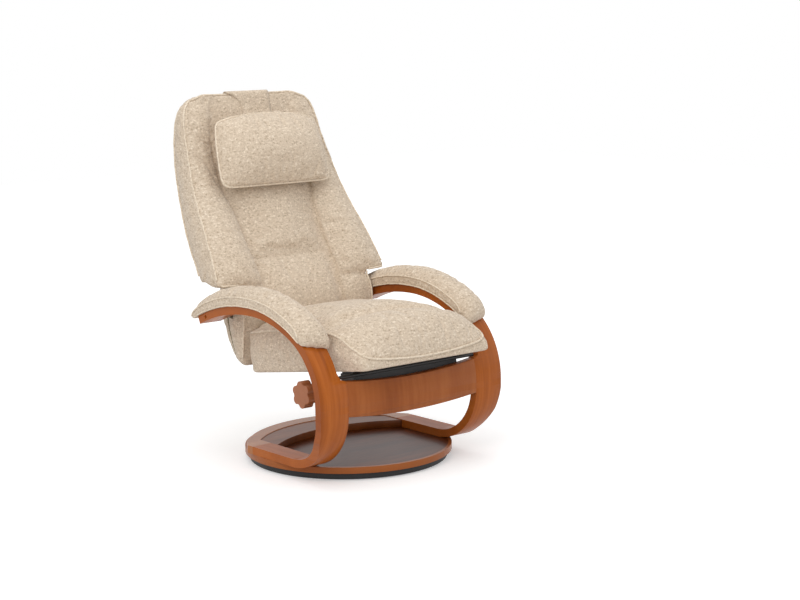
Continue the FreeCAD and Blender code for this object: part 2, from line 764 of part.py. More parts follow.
# Inner line of the strap, from behind the pillow over the top and down the rear.
strap_line = [(428, 905), (444.5, 956), (455.5, 990), (460, 1010), (467, 1036), (484, 1037), (500, 1012),
              (513, 991), (527, 966), (530, 902), (520, 856)]
strap_outside = offset_line(strap_line, -3)
keep("headrest_strap", padded("headrest_strap", "YZ_Plane", -size.strap_half, size.strap_half * 2,
                              corners=strap_line + strap_outside[::-1]))


pouch = [(492, 764), (505, 800), (518, 840), (522, 854.5), (526, 854.5), (532, 840), (523, 800), (504, 770),
         (496, 764)]
keep("strap_weight", padded("strap_weight", "YZ_Plane", 3 - size.strap_half, size.strap_half * 2 - 6,
                            corners=pouch))

doc.recompute()
for item in doc.Objects:
    if "Invalid" in item.State or "Error" in item.State:
        raise RuntimeError(f"{item.Label} failed: {item.State}")
os.makedirs("parts", exist_ok=True)
for name, item in nodes.items():
    if item.Shape.isNull() or not item.Shape.isValid():
        raise RuntimeError(f"{name} has no valid shape")
for name, item in nodes.items():
    item.Shape.exportStep(f"parts/{name}.step")
    bounds = item.Shape.BoundBox
    print(f"{name}: {item.Shape.Volume / 1000:.1f} cm3, {len(item.Shape.Solids)} solids, "
          f"{bounds.XLength:.0f} x {bounds.YLength:.0f} x {bounds.ZLength:.0f}")
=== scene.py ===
import math

import bmesh
import bpy
from mathutils import Matrix, Vector
from mathutils.bvhtree import BVHTree
from mathutils.kdtree import KDTree


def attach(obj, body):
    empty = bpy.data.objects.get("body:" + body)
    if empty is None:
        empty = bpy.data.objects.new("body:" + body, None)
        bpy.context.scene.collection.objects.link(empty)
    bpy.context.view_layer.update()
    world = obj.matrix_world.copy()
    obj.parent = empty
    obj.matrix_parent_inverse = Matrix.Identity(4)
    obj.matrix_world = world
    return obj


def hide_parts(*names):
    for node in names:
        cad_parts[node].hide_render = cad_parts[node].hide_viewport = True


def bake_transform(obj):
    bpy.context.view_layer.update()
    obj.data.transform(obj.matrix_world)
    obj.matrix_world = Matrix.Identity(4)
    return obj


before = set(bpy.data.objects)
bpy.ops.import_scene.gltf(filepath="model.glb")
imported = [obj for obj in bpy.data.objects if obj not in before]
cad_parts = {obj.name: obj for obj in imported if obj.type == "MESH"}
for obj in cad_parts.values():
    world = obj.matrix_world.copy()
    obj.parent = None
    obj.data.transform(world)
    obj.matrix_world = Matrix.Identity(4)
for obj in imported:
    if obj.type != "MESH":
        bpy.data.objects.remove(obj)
bpy.ops.object.select_all(action="DESELECT")
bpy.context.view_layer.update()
print("frame loaded")

# Camera, from the photograph: sizes in metres, angles in degrees.
shot = {"azimuth": -40.055, "pitch": 9.357, "roll": -0.563, "lens": 80.57, "distance": 5.21235,
        "across": 0.15341, "up": 0.44817}


def placeCamera():
    turn, pitch, roll = (math.radians(shot[key]) for key in ("azimuth", "pitch", "roll"))
    away = Vector((math.sin(turn) * math.cos(pitch), -math.cos(turn) * math.cos(pitch), math.sin(pitch)))
    level = Vector((math.cos(turn), math.sin(turn), 0))
    upright = away.cross(level)
    side = level * math.cos(roll) + upright * math.sin(roll)
    top = upright * math.cos(roll) - level * math.sin(roll)
    spot = away * shot["distance"] + level * shot["across"] + upright * shot["up"]
    lens = bpy.data.cameras.new("photoCamera")
    lens.lens, lens.sensor_width, lens.clip_end = shot["lens"], 36, 50
    camera = bpy.data.objects.new("photoCamera", lens)
    bpy.context.collection.objects.link(camera)
    camera.matrix_world = Matrix((
        (side.x, top.x, away.x, spot.x),
        (side.y, top.y, away.y, spot.y),
        (side.z, top.z, away.z, spot.z),
        (0, 0, 0, 1),
    ))
    bpy.context.scene.camera = camera


placeCamera()


# One socket of a material, so that shader maths reads as plain arithmetic.
class Signal:
    def __init__(self, paint, socket):
        self.paint, self.socket = paint, socket

    def math(self, operation, first, second):
        node = self.paint.add("ShaderNodeMath", {"operation": operation}, {0: first, 1: second})
        return node.out("Value")

    def __add__(self, other):
        return self.math("ADD", self, other)

    def __radd__(self, other):
        return self.math("ADD", other, self)

    def __sub__(self, other):
        return self.math("SUBTRACT", self, other)

    def __rsub__(self, other):
        return self.math("SUBTRACT", other, self)

    def __mul__(self, other):
        return self.math("MULTIPLY", self, other)

    def __rmul__(self, other):
        return self.math("MULTIPLY", other, self)


# A node of a material, with its outputs by name.
class Step:
    def __init__(self, paint, node):
        self.paint, self.node = paint, node

    def out(self, name):
        return Signal(self.paint, self.node.outputs[name])


# A material that is built up node by node.
class Paint:
    def __init__(self, name):
        self.material = bpy.data.materials.new(name)
        self.material.use_nodes = True
        self.nodes, self.links = self.material.node_tree.nodes, self.material.node_tree.links
        self.shader = Step(self, self.nodes["Principled BSDF"])

    def add(self, kind, settings=None, sockets=None):
        node = self.nodes.new(kind)
        for key, amount in (settings or {}).items():
            if key == "stops":
                ramp = node.color_ramp.elements
                while len(ramp) < len(amount):
                    ramp.new(1)
                for element, (place, colour) in zip(ramp, amount):
                    element.position, element.color = place, (*colour, 1)
            else:
                setattr(node, key, amount)
        step = Step(self, node)
        for key, amount in (sockets or {}).items():
            self.feed(step, key, amount)
        return step

    def feed(self, step, key, amount):
        socket = step.node.inputs[key]
        if isinstance(amount, Signal):
            self.links.new(amount.socket, socket)
        elif isinstance(amount, tuple) and socket.type == "RGBA":
            socket.default_value = (*amount, 1)
        else:
            socket.default_value = amount

    def finish(self, **sockets):
        for key, amount in sockets.items():
            self.feed(self.shader, key.replace("_", " "), amount)
        return self.material

    def where(self, scale=(1, 1, 1)):
        spot = self.add("ShaderNodeTexCoord").out("Object")
        return self.add("ShaderNodeMapping", {"vector_type": "POINT"}, {
            "Vector": spot, "Scale": scale}).out("Vector")

    def noise(self, vector, scale, detail=2.0, rough=0.5):
        return self.add("ShaderNodeTexNoise", {}, {
            "Vector": vector, "Scale": scale, "Detail": detail, "Roughness": rough}).out("Fac")

    def ramp(self, amount, stops):
        return self.add("ShaderNodeValToRGB", {"stops": stops}, {"Fac": amount}).out("Color")

    def mix(self, share, first, second):
        step = self.add("ShaderNodeMix", {"data_type": "RGBA"}, {0: share, 6: first, 7: second})
        return Signal(self, step.node.outputs[2])

    def bump(self, height, distance):
        return self.add("ShaderNodeBump", {}, {
            "Height": height, "Distance": distance, "Strength": 1.0}).out("Normal")


# A colour as a picture gives it, from 0 to 255, made linear.
def plain(red, green, blue):
    return tuple((c / 255 / 12.92) if c / 255 <= 0.04045 else ((c / 255 + 0.055) / 1.055) ** 2.4
                 for c in (red, green, blue))


# Heathered oatmeal cloth: mixed yarns in small flecks over a plain weave.
cloth = {"light": (242, 228, 209), "middle": (210, 192, 170), "dark": (166, 146, 122), "fleck": 0.0052,
         "weave": 0.0018, "relief": 0.0009}


def makeCloth(name, light, middle, dark, relief):
    paint = Paint(name)
    spot = paint.where()
    fleck = paint.noise(spot, 1 / cloth["fleck"], 3.0, 0.65)
    slub = paint.noise(paint.where((1, 1, 2.6)), 0.45 / cloth["fleck"], 2.0, 0.6)
    cloud = paint.noise(spot, 9.0, 3.0)
    yarns = paint.ramp(fleck * 0.6 + slub * 0.4, [
        (0.36, plain(*dark)), (0.47, plain(*middle)), (0.53, plain(*middle)), (0.64, plain(*light))])
    tone = paint.mix(cloud * 0.4, yarns, paint.mix(0.6, yarns, plain(*middle)))
    threads = paint.add("ShaderNodeTexVoronoi", {"feature": "F1"}, {
        "Vector": paint.where((1, 1, 1.3)), "Scale": 1 / cloth["weave"]}).out("Distance")
    height = threads * -0.5 + fleck * 0.6 + slub * 0.5
    return paint.finish(Base_Color=tone, Roughness=0.94, Normal=paint.bump(height, relief),
                        Sheen_Weight=0.25, Sheen_Roughness=0.5, Specular_IOR_Level=0.15)


clothPaint = makeCloth("oatmealCloth", cloth["light"], cloth["middle"], cloth["dark"], cloth["relief"])
# Piping: the same cloth in lighter tones, a painted highlight along the round cords.
pipingPaintedHighlight = makeCloth("pipingClothPaintedHighlight", (246, 233, 214), (224, 208, 186), (184, 165, 141), 0.0004)
zipPaint = makeCloth("oliveZipTape", (132, 122, 92), (106, 97, 68), (70, 64, 44), 0.0003)


# Stained wood: long grain along the strip, a thin clear coat, and a lighter rim beyond a radius.
def makeWood(name, light, middle, dark, grain, gloss, coat, rim=None):
    paint = Paint(name)
    lines = paint.noise(paint.where(grain), 1.0, 6.0, 0.62)
    broad = paint.noise(paint.where(tuple(c * 0.22 for c in grain)), 1.0, 3.0, 0.55)
    pores = paint.noise(paint.where(tuple(c * 3.5 for c in grain)), 1.0, 2.0, 0.7)
    share = lines * 0.4 + broad * 0.6
    tone = paint.ramp(share, [(0.3, plain(*dark)), (0.5, plain(*middle)), (0.72, plain(*light))])
    tone = paint.mix(pores * 0.22, tone, plain(*dark))
    if rim:
        flat = paint.add("ShaderNodeVectorMath", {"operation": "LENGTH"}, {"Vector": paint.where((1, 1, 0))})
        edge = paint.add("ShaderNodeMapRange", {}, {
            "Value": flat.out("Value"), "From Min": rim[0] - 0.001, "From Max": rim[0]})
        tone = paint.mix(edge.out("Result"), tone, plain(*rim[1]))
    return paint.finish(Base_Color=tone, Roughness=gloss + pores * 0.1,
                        Normal=paint.bump(lines + pores * 0.4, 0.0001),
                        Specular_IOR_Level=0.12, Coat_Weight=coat, Coat_Roughness=0.1)


bentPly = makeWood("honeyBentPly", (196, 112, 46), (170, 90, 28), (136, 66, 16), (110, 6, 6), 0.34, 0.14)
crossPly = makeWood("redderBentPly", (174, 102, 52), (156, 86, 40), (132, 68, 30), (60, 7, 7), 0.38, 0.08)
discPly = makeWood("glossyBrownVeneer", (112, 56, 20), (88, 40, 10), (64, 26, 4), (7, 60, 7), 0.26, 0.08,
                   (0.2905, (158, 90, 44)))
stepPly = makeWood("insetVeneer", (150, 88, 46), (124, 68, 30), (94, 48, 18), (7, 60, 7), 0.3, 0.11)
# Rear bridge: a paler, greyer copy of the bent ply, painted sheen of its top under grazing light, over a stronger
# clear coat.
bridgePlyPaintedSheen = makeWood("bentPlyPaintedSheen", (196, 132, 80), (172, 108, 60), (140, 82, 40), (7, 70, 7), 0.3, 0.3)
birchPly = makeWood("birchPly", (224, 200, 160), (206, 178, 134), (168, 138, 96), (14, 120, 14), 0.6, 0.0)


def makeSteel(name, colour, rough, metal, relief):
    paint = Paint(name)
    spot = paint.where()
    grit = paint.noise(spot, 900.0, 2.0)
    patch = paint.noise(spot, 40.0, 3.0)
    tone = paint.mix(patch * 0.4, plain(*colour), plain(*(c * 0.75 for c in colour)))
    return paint.finish(Base_Color=tone, Roughness=rough + patch * 0.15, Metallic=metal,
                        Normal=paint.bump(grit, relief))


blackSteel = makeSteel("blackPaintedSteel", (34, 33, 33), 0.42, 0.1, 0.00008)
brightSteel = makeSteel("zincSteel", (176, 176, 172), 0.28, 1.0, 0.00003)
blackPlastic = makeSteel("blackMouldedPlastic", (22, 22, 23), 0.5, 0.0, 0.0001)
brownPlastic = makeSteel("brownMouldedPlastic", (166, 98, 56), 0.38, 0.0, 0.0001)
webbingPaint = makeCloth("webbingCloth", (120, 104, 84), (92, 78, 62), (60, 50, 40), 0.0004)

nodePaints = {
    "left_leg": bentPly, "right_leg": bentPly, "front_crossbar": crossPly, "rear_bridge": bridgePlyPaintedSheen,
    "base_step": stepPly, "base_disc": discPly, "seat_tray": birchPly,
    "left_knob": brownPlastic, "right_knob": brownPlastic,
    "pivot_bolts": brightSteel, "swivel_pin": brightSteel, "channel_bolts": brightSteel,
    "left_knob_shaft": brightSteel, "right_knob_shaft": brightSteel, "bearing_race": brightSteel,
    "seat_webbing": webbingPaint, "floor_ring": blackPlastic, "floor_glides": blackPlastic,
    "left_runner": blackPlastic, "right_runner": blackPlastic,
}
# Edges that a hand would feel as rounded, in metres.
nodeEdges = {
    "left_leg": 0.002, "right_leg": 0.002, "front_crossbar": 0.002, "rear_bridge": 0.002, "base_step": 0.001,
    "base_disc": 0.003, "left_knob": 0.003, "right_knob": 0.003, "floor_ring": 0.0015, "mount_channel": 0.001,
}
edgeStart = math.radians(40)

for nodeName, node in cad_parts.items():
    material = nodePaints.get(nodeName, blackSteel)
    if not node.material_slots:
        node.data.materials.append(material)
    for slot in node.material_slots:
        slot.material = material
    if nodeName in nodeEdges:
        weld = node.modifiers.new("Weld", "WELD")
        weld.merge_threshold = 0.00002
        edge = node.modifiers.new("Bevel", "BEVEL")
        edge.width, edge.segments = nodeEdges[nodeName], 2
        edge.limit_method, edge.angle_limit = "ANGLE", edgeStart
print("materials on the carried nodes")


# Soft pieces: a lofted form is remeshed, filled with a cloth cover, then seamed and piped.
stuffing = {"pressure": 4, "stiff": 8, "bend": 0.4, "mass": 0.3, "slack": 0.03, "frames": 20, "quickShare": 0.2}


# Rows in between the given ones, on a smooth curve through them.
def between(rows, steps):
    out = []
    for index in range(len(rows) - 1):
        before, start, end, after = (rows[min(max(index + k, 0), len(rows) - 1)] for k in (-1, 0, 1, 2))
        for step in range(steps):
            t = step / steps
            out.append(tuple(
                0.5 * (2 * b + (c - a) * t + (2 * a - 5 * b + 4 * c - d) * t * t
                       + (3 * b - a - 3 * c + d) * t ** 3)
                for a, b, c, d in zip(before, start, end, after)))
    return out + [tuple(rows[-1])]


# Closed form through one or more stacks of rings.
def loft(name, parts):
    mesh = bmesh.new()
    for rings in parts:
        rows = [[mesh.verts.new(point) for point in ring] for ring in rings]
        for low, high in zip(rows, rows[1:]):
            for index in range(len(low)):
                after = (index + 1) % len(low)
                mesh.faces.new((low[index], low[after], high[after], high[index]))
        mesh.faces.new(rows[0][::-1])
        mesh.faces.new(rows[-1])
    bmesh.ops.recalc_face_normals(mesh, faces=mesh.faces)
    data = bpy.data.meshes.new(name)
    mesh.to_mesh(data)
    mesh.free()
    piece = bpy.data.objects.new(name, data)
    bpy.context.collection.objects.link(piece)
    return piece


# Applies modifiers one after the other.
def settle(piece, *modifiers):
    bpy.ops.object.select_all(action="DESELECT")
    bpy.context.view_layer.objects.active = piece
    piece.select_set(True)
    for kind, settings in modifiers:
        modifier = piece.modifiers.new(kind.title(), kind)
        for key, amount in settings.items():
            setattr(modifier, key, amount)
        bpy.ops.object.modifier_apply(modifier=modifier.name)
    piece.select_set(False)


def surfaceOf(piece):
    mesh = bmesh.new()
    mesh.from_mesh(piece.data)
    tree = BVHTree.FromBMesh(mesh)
    mesh.free()
    return tree


seamStep, seamGap, seamReach = 0.004, 0.06, 0.6


# A seam's route is points and directions: each is shot at the cover, and what it hits is joined up.
def layOn(tree, seam):
    path = []
    for point, direction in seam["route"]:
        hit = tree.ray_cast(Vector(point), Vector(direction).normalized(), seamReach)
        if hit[0] is not None:
            path.append((hit[0], hit[1]))
    dense = []
    for (start, _), (end, _) in zip(path, path[1:]):
        count = max(1, int((end - start).length / seamStep))
        if (end - start).length > seamGap:
            continue
        for step in range(count):
            dense.append(tree.find_nearest(start.lerp(end, step / count))[:2])
    if path:
        dense.append(path[-1])
    return dense


def nearness(points):
    tree = KDTree(len(points))
    for index, point in enumerate(points):
        tree.insert(point, index)
    tree.balance()
    return tree


# The cover is held along its seams and wherever fixed says so, and swells between.
def fill(piece, look, seams, fixed):
    settle(piece, ("REMESH", {"mode": "VOXEL", "voxel_size": look["voxel"]}),
           ("SMOOTH", {"factor": 0.5, "iterations": look["soften"]}))
    tree = surfaceOf(piece)
    near = nearness([point for seam in seams for point, _ in layOn(tree, seam)])
    data = piece.data
    holds = []
    for vertex in data.vertices:
        gap = near.find(vertex.co)[2]
        hold = min(max(1 - (gap - seamStep) / look["reach"], 0), 1)
        holds.append(max(hold * hold, fixed(vertex.co)))
    starts = [vertex.co - vertex.normal * look["inset"] * (1 - hold)
              for vertex, hold in zip(data.vertices, holds)]
    for vertex, start in zip(data.vertices, starts):
        vertex.co = start
    group = piece.vertex_groups.new(name="held")
    for index, hold in enumerate(holds):
        group.add([index], hold, "REPLACE")
    modifier = piece.modifiers.new("Cloth", "CLOTH")
    settings = modifier.settings
    settings.quality, settings.mass, settings.air_damping = 3, stuffing["mass"], 1
    settings.tension_stiffness = settings.compression_stiffness = stuffing["stiff"]
    settings.bending_stiffness = stuffing["bend"]
    settings.shrink_min = settings.shrink_max = -stuffing["slack"]  # the cover is cut a little full
    settings.use_pressure, settings.uniform_pressure_force = True, stuffing["pressure"]
    settings.effector_weights.gravity = 0
    settings.vertex_group_mass = "held"
    modifier.point_cache.frame_start, modifier.point_cache.frame_end = 1, stuffing["frames"]
    for number in range(1, stuffing["frames"] + 1):
        bpy.context.scene.frame_set(number)
    shown = piece.evaluated_get(bpy.context.evaluated_depsgraph_get())
    ends = [vertex.co.copy() for vertex in shown.data.vertices]
    piece.modifiers.remove(modifier)
    bpy.context.scene.frame_set(1)
    for vertex, start, end in zip(data.vertices, starts, ends):
        move = end - start
        vertex.co = start + move * min(1, look["cap"] / max(move.length, 1e-9))
    piece.vertex_groups.remove(group)


seamWidth = 0.007


# Draws the cover in along its seams.
def press(piece, laid):
    points = [(point, seam) for seam, path in laid for point, _ in path]
    near = nearness([point for point, _ in points])
    moves = []
    for vertex in piece.data.vertices:
        _, index, gap = near.find(vertex.co)
        seam = points[index][1]
        share = math.exp(-(gap / seam.get("width", seamWidth)) ** 2) if gap < 0.03 else 0
        moves.append(vertex.normal * seam["depth"] * share)
    for vertex, move in zip(piece.data.vertices, moves):
        vertex.co -= move


# A round piping cord along a path of points and normals.
def cordAlong(path, radius, lift, sides=8):
    mesh = bmesh.new()
    rows = []
    for index, (point, normal) in enumerate(path):
        ahead = path[min(index + 1, len(path) - 1)][0] - path[max(index - 1, 0)][0]
        if ahead.length < 1e-6:
            continue
        across = ahead.cross(normal).normalized()
        out = across.cross(ahead).normalized()
        centre = point + out * lift
        rows.append([mesh.verts.new(centre + (across * math.cos(turn) + out * math.sin(turn)) * radius)
                     for turn in (2 * math.pi * k / sides for k in range(sides))])
    for low, high in zip(rows, rows[1:]):
        for index in range(sides):
            after = (index + 1) % sides
            mesh.faces.new((low[index], low[after], high[after], high[index]))
    mesh.faces.new(rows[0][::-1])
    mesh.faces.new(rows[-1])
    bmesh.ops.recalc_face_normals(mesh, faces=mesh.faces)
    return mesh


def seamUp(piece, look, seams):
    tree = surfaceOf(piece)
    laid = [(seam, layOn(tree, seam)) for seam in seams]
    press(piece, laid)
    if look["levels"]:
        settle(piece, ("SUBSURF", {"levels": look["levels"], "render_levels": look["levels"]}))
    tree = surfaceOf(piece)
    piece.data.materials.clear()
    for material in (clothPaint, pipingPaintedHighlight, zipPaint):
        piece.data.materials.append(material)
    whole = bmesh.new()
    whole.from_mesh(piece.data)
    for seam, path in laid:
        if seam.get("pipe") and len(path) > 2:
            centres = [(tree.find_nearest(point)[0], normal) for point, normal in path]
            for _ in range(3):
                centres = [centres[0]] + [
                    ((before[0] + here[0] * 2 + after[0]) / 4, here[1])
                    for before, here, after in zip(centres, centres[1:], centres[2:])] + [centres[-1]]
            pipe = cordAlong(centres, seam["pipe"], seam["pipe"] * (0 if seam.get("zip") else 0.75))
            data = bpy.data.meshes.new("pipe")
            pipe.to_mesh(data)
            pipe.free()
            start = len(whole.faces)
            whole.from_mesh(data)
            bpy.data.meshes.remove(data)
            whole.faces.ensure_lookup_table()
            for face in whole.faces[start:]:
                face.material_index = 2 if seam.get("zip") else 1
    for face in whole.faces:
        face.smooth = True
    whole.to_mesh(piece.data)
    whole.free()


def mirrored(points):
    return [((-x, y, z), (-a, b, c)) for (x, y, z), (a, b, c) in points]


# The back: two wings and a recessed middle over a narrower boxed lower part.
back = {"voxel": 0.0065, "inset": 0.0005, "cap": 0.022, "reach": 0.022, "levels": 0, "soften": 2,
        "piping": 0.003}
# Height, half-width and depth of the middle, wing crest, front corner, rear corner, rear middle.
upperRows = [
    (500, 131, 230, 196, 300, 204, 284, 316, 334),
    (508, 131, 234, 194, 306, 202, 288, 320, 338),
    (546, 134, 254, 212, 301, 224, 284, 346, 364),
    (617, 138, 298, 258, 291, 268, 276, 397, 416),
    (702, 144, 347, 321, 279, 331, 265, 443, 462),
    (774, 158, 390, 366, 269, 374, 256, 475, 494),
    (834, 160, 414, 397, 261, 400, 248, 496, 514),
    (902, 160, 437, 428, 252, 430, 240, 508, 527),
    (965, 155, 454, 450, 244, 450, 233, 505, 524),
    (1004, 140, 463, 461, 228, 461, 219, 492, 508),
    (1024, 120, 468, 466, 198, 466, 192, 482, 494),
    (1033, 100, 471, 469, 160, 469, 156, 479, 484),
]
lowerRows = [
    (262, 110, 200, 199, 214, 202, 206, 224, 238),
    (272, 118, 196, 195, 226, 196, 214, 236, 250),
    (290, 124, 193, 192, 233, 192, 221, 249, 264),
    (340, 130, 190, 188, 236, 185, 223, 279, 295),
    (386, 132, 184, 181, 238, 176, 222, 304, 322),
    (430, 132, 188, 179, 238, 172, 222, 316, 332),
    (470, 131, 205, 189, 236, 182, 222, 322, 338),
    (530, 131, 241, 224, 230, 222, 220, 328, 344),
]


def backRing(row):
    height, halfMiddle, middle, crest, frontX, frontY, rearX, rearY, rear = row
    valley = min(7, middle - crest)
    half = [
        (0, middle - 3), (halfMiddle * 0.4, middle - 3), (halfMiddle * 0.8, middle + valley * 0.2),
        (halfMiddle, middle + valley * 0.8), (halfMiddle + 9, middle - (middle - crest) * 0.3),
        (halfMiddle + 26, crest + (middle - crest) * 0.24),
        (halfMiddle + (frontX - halfMiddle) * 0.5, crest - 2),
        (frontX - 18, crest + (frontY - crest) * 0.35), (frontX, frontY),
        ((frontX * 2 + rearX) / 3 + 4, (frontY * 2 + rearY) / 3),
        ((frontX + rearX * 2) / 3 + 4, (frontY + rearY * 2) / 3), (rearX, rearY),
        (rearX * 0.8, rearY + (rear - rearY) * 0.55),
        (rearX * 0.45, rearY + (rear - rearY) * 0.9), (0, rear),
    ]
    ring = half + [(-x, y) for x, y in reversed(half[1:-1])]
    return [Vector((x, y, height)) / 1000 for x, y in ring]


# The row at any height, between the given ones.
def rowAt(rows, height):
    for low, high in zip(rows, rows[1:]):
        if height <= high[0]:
            share = (height - low[0]) / (high[0] - low[0])
            return [a + (b - a) * share for a, b in zip(low, high)]
    return rows[-1]


# Shots at a corner of the back, from 40 mm off it.
def backCorner(heights, rows, column, out):
    route = []
    for height in heights:
        row = rowAt(rows, height)
        x, y = row[column], row[column + 1]
        route.append((((x + 40) / 1000, (y + 40 * out) / 1000, height / 1000), (-1, -out, 0)))
    return route


def onFront(points):
    return [((x / 1000, 0.05, z / 1000), (0, 1, 0)) for x, z in points]


def steps(start, end, count):
    return [start + (end - start) * k / (count - 1) for k in range(count)]


def backSeams():
    pipe, seams = back["piping"], []
    topFront = [((x / 1000, 0.39, 1.11), (0, 0.085, -0.08)) for x in steps(-165, 165, 23)]
    rightUp = mirrored(backCorner(steps(520, 1008, 40), upperRows, 4, -1))
    roundLeft = [((x / 1000, (y - 40) / 1000, (z + s) / 1000), (c, 0.7, -s / 45)) for x, y, z, c, s in (
        (-262, 463, 1018, 0.7, 8), (-240, 465, 1026, 0.5, 24),
        (-215, 467, 1030, 0.3, 36), (-190, 468, 1033, 0.1, 40))]
    front = rightUp + roundLeft + topFront + mirrored(roundLeft)[::-1] + mirrored(rightUp)[::-1]
    seams.append({"route": front, "depth": 0.004, "width": 0.005, "pipe": pipe})
    rearUp = backCorner(steps(520, 1000, 40), upperRows, 6, 1)
    for route in (rearUp, mirrored(rearUp)):
        seams.append({"route": route, "depth": 0.002, "pipe": pipe})
    middle = between([
        (158, 860), (158, 752), (143, 690), (138, 610), (138, 560), (134, 488), (132, 430), (132, 392)], 8)
    for side in (1, -1):
        seams.append({"route": onFront([(x * side, z) for x, z in middle]), "depth": 0.008, "width": 0.006})
    seams.append({"route": onFront([(x, 562) for x in steps(-130, 130, 30)]), "depth": 0.006})  # lumbar
    arc = between([(-262, 868), (-240, 863), (-222, 856), (-204, 842), (-190, 812), (-176, 772)], 6)
    for side in (1, -1):
        seams.append({"route": onFront([(x * side, z) for x, z in arc]), "depth": 0.0055, "width": 0.005})
        lip = [((x * side / 1000, 0.1, 0.47), (0, 0.1, 0.034)) for x in steps(240, 296, 11)]
        seams.append({"route": lip, "depth": 0.001, "pipe": pipe})
    boxed = backCorner(steps(290, 496, 26), lowerRows, 4, -1)
    seams.append({"route": boxed, "depth": 0.0015, "pipe": pipe})
    seams.append({"route": mirrored(boxed), "depth": 0.0015, "pipe": pipe})
    side = [((0.3, (y + 6) / 1000, z / 1000), (-1, 0, 0)) for y, z in between(
        [(232, 292), (250, 340), (262, 386), (268, 430), (275, 480)], 6)]
    for route in (side, mirrored(side)):
        seams.append({"route": route, "depth": 0.005, "width": 0.005, "pipe": 0.0024, "zip": True})
    return seams


def backFixed(spot):
    held = 0
    if spot.z < 0.3:
        held = min(1, (0.3 - spot.z) / 0.03)
    row = rowAt(upperRows, spot.z * 1000)
    if spot.z > 0.86 or spot.z > 0.72 and spot.y * 2000 > row[2] + row[8]:
        held = max(held, min(max((0.15 - abs(spot.x)) / 0.04, 0), 1))  # the strap lies close over here
    return held


def carve(piece, rooms, place=lambda x, y, z: (x, y, z)):
    mesh = bmesh.new()
    for low, high in rooms:
        made = bmesh.ops.create_cube(mesh, size=1)
        for vertex in made["verts"]:
            vertex.co = place(*((a + b) / 2 + (b - a) * c for a, b, c in zip(low, high, vertex.co)))
    data = bpy.data.meshes.new("rooms")
    mesh.to_mesh(data)
    mesh.free()
    cutter = bpy.data.objects.new("rooms", data)
    bpy.context.collection.objects.link(cutter)
    settle(piece, ("BOOLEAN", {"operation": "DIFFERENCE", "object": cutter, "solver": "EXACT"}))
    bpy.data.objects.remove(cutter)


backCushion = loft("backCushion", [[backRing(row) for row in between(upperRows, 5)],
                                   [backRing(row) for row in between(lowerRows, 5)]])
seams = backSeams()
fill(backCushion, back, seams, backFixed)
hookRooms = [((side * 0.131 - 0.011, 0.16, 0.235), (side * 0.131 + 0.011, 0.276, 0.324))
             for side in (1, -1)]
pinRooms = [((min(side * 0.198, side * 0.26), 0.221, 0.402), (max(side * 0.198, side * 0.26), 0.249, 0.43))
            for side in (1, -1)]
carve(backCushion, hookRooms + pinRooms)
seamUp(backCushion, back, seams)
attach(backCushion, "backrest")
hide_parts("back_cushion", "back_cover")
print("back cushion")


# The seat: its top panel wraps over the front, and the side bands run out under it.
seat = {"voxel": 0.0062, "inset": 0.001, "cap": 0.022, "reach": 0.03, "levels": 1, "soften": 3, "piping": 0.003,
        "tilt": math.radians(9), "origin": 274}
# Distance back, side height, crown, half-width, all along the tipped seat.
seatRows = [
    (168, 100, 12, 213), (164, 110, 18, 218), (150, 119, 24, 221), (100, 121, 31, 221), (60, 122, 34, 221),
    (-20, 120, 35, 222), (-120, 116, 35, 223), (-180, 112, 36, 224), (-225, 105, 40, 225), (-265, 96, 46, 226),
    (-300, 76, 54, 227), (-328, 56, 55, 227), (-346, 42, 46, 226), (-358, 30, 32, 224), (-365, 17, 14, 220),
]


def onSeat(x, along, rise):
    turn = seat["tilt"]
    return (x / 1000, (along * math.cos(turn) + rise * math.sin(turn)) / 1000,
            (seat["origin"] - along * math.sin(turn) + rise * math.cos(turn)) / 1000)


def seatWay(x, along, rise):
    turn = seat["tilt"]
    return (x, along * math.cos(turn) + rise * math.sin(turn),
            -along * math.sin(turn) + rise * math.cos(turn))


def seatRing(row):
    along, side, crown, half = row
    outline = [(-half, 0), (-half * 0.5, 0), (0, 0), (half * 0.5, 0), (half, 0)]
    outline += [(half + 3, side * 0.5), (half, side)]
    outline += [(half * c, side + crown * (1 - abs(c) ** 3.2))
                for c in (0.96, 0.87, 0.7, 0.4, 0, -0.4, -0.7, -0.87, -0.96)]
    outline += [(-half, side), (-half - 3, side * 0.5)]
    return [Vector(onSeat(x, along, rise)) for x, rise in outline]


def seatSeams():
    pipe = seat["piping"]
    rows = [row for row in between(seatRows, 6) if row[0] <= 150]
    side = []
    for along, rise, _, half in rows:
        if along > -318:
            side.append((onSeat(half + 40, along, rise + 40), seatWay(-1, 0, -1)))
    corner = [(onSeat(x, along - 40, rise), seatWay(-a, 1, 0)) for x, along, rise, a in (
        (262, -326, 58, 1.0), (258, -340, 48, 1.0), (244, -352, 40, 0.7),
        (222, -358, 35, 0.4), (196, -362, 31, 0.1))]
    front = [(onSeat(x, -420, 30 - 14 * (1 - (x / 190) ** 2)), seatWay(0, 1, 0))
             for x in steps(180, -180, 40)]
    top = side + corner + front + mirrored(corner)[::-1] + mirrored(side)[::-1]
    fold = [(onSeat(x, -205 - 45 * x / 200 * (x > 0), 210), seatWay(0, 0, -1))
            for x in steps(-200, 200, 44)]
    return [{"route": top, "depth": 0.0025, "pipe": pipe},
            {"route": fold, "depth": 0.01, "width": 0.024}]


def seatFixed(spot):
    turn = seat["tilt"]
    rise = spot.y * math.sin(turn) + (spot.z - seat["origin"] / 1000) * math.cos(turn)
    return min(max(1 - (rise - 0.006) / 0.02, 0), 1)


seatCushion = loft("seatCushion", [[seatRing(row) for row in between(seatRows, 4)]])
seams = seatSeams()
fill(seatCushion, seat, seams, seatFixed)


